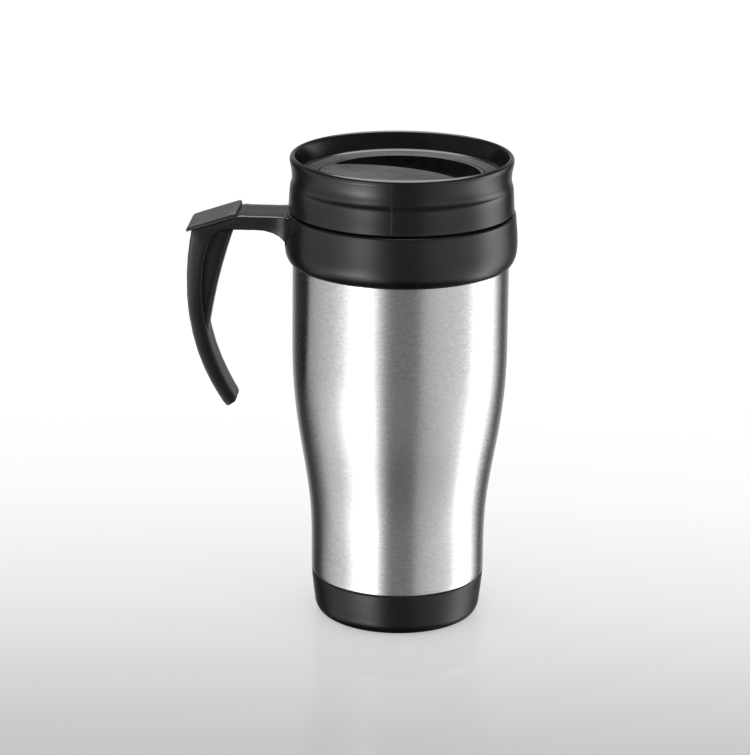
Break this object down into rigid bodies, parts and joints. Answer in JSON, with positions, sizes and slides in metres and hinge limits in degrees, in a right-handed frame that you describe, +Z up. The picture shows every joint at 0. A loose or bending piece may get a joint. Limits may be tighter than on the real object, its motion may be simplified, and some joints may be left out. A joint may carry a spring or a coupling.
{
  "type": "insulated travel mug",
  "caption": "Insulated steel travel mug with black collar, open-ended handle with thumb rest, plastic base and a push-in lid with turning drink closure.",
  "frame": {"origin": "centre of the foot pad's resting face, on the mug's axis", "axes": "+Z up along the mug's axis; the handle points along -X; Y is across the handle"},
  "size_m": [0.1222, 0.086, 0.1774],
  "materials": {
    "steel": "brushed round the body",
    "black_plastic": "semi-gloss moulded",
    "textured_plastic": "fine spark texture",
    "liner_plastic": "smooth food-grade moulding",
    "silicone": "matte silicone",
    "foot_rubber": "matte non-slip",
    "clip_plastic": "plain moulded"
  },
  "bodies": {
    "mug": {"outer_shell": "steel", "upper_seal": "silicone", "lower_seal": "silicone", "inner_liner": "liner_plastic", "collar_handle": "black_plastic", "thumb_pad": "textured_plastic", "base_cap": "black_plastic", "foot_pad": "foot_rubber"},
    "gasket": {"lid_gasket": "silicone"},
    "lid": {"lid_rim": "black_plastic", "lid_plug": "black_plastic", "disc_seal": "silicone"},
    "closure": {"drink_disc": "textured_plastic", "disc_clip": "clip_plastic"}
  },
  "joints": [
    {"name": "lid_lift", "type": "slide", "parent": "mug", "child": "gasket", "axis": [0, 0, 1], "range_m": [0, 0.08]},
    {"name": "lid_turn", "type": "hinge", "parent": "gasket", "child": "lid", "pos_m": [0, 0, 0.15], "axis": [0, 0, 1], "continuous": true},
    {"name": "disc_turn", "type": "hinge", "parent": "lid", "child": "closure", "pos_m": [0, 0, 0.1637], "axis": [0, 0, 1], "range_deg": [0, 75]}
  ]
}
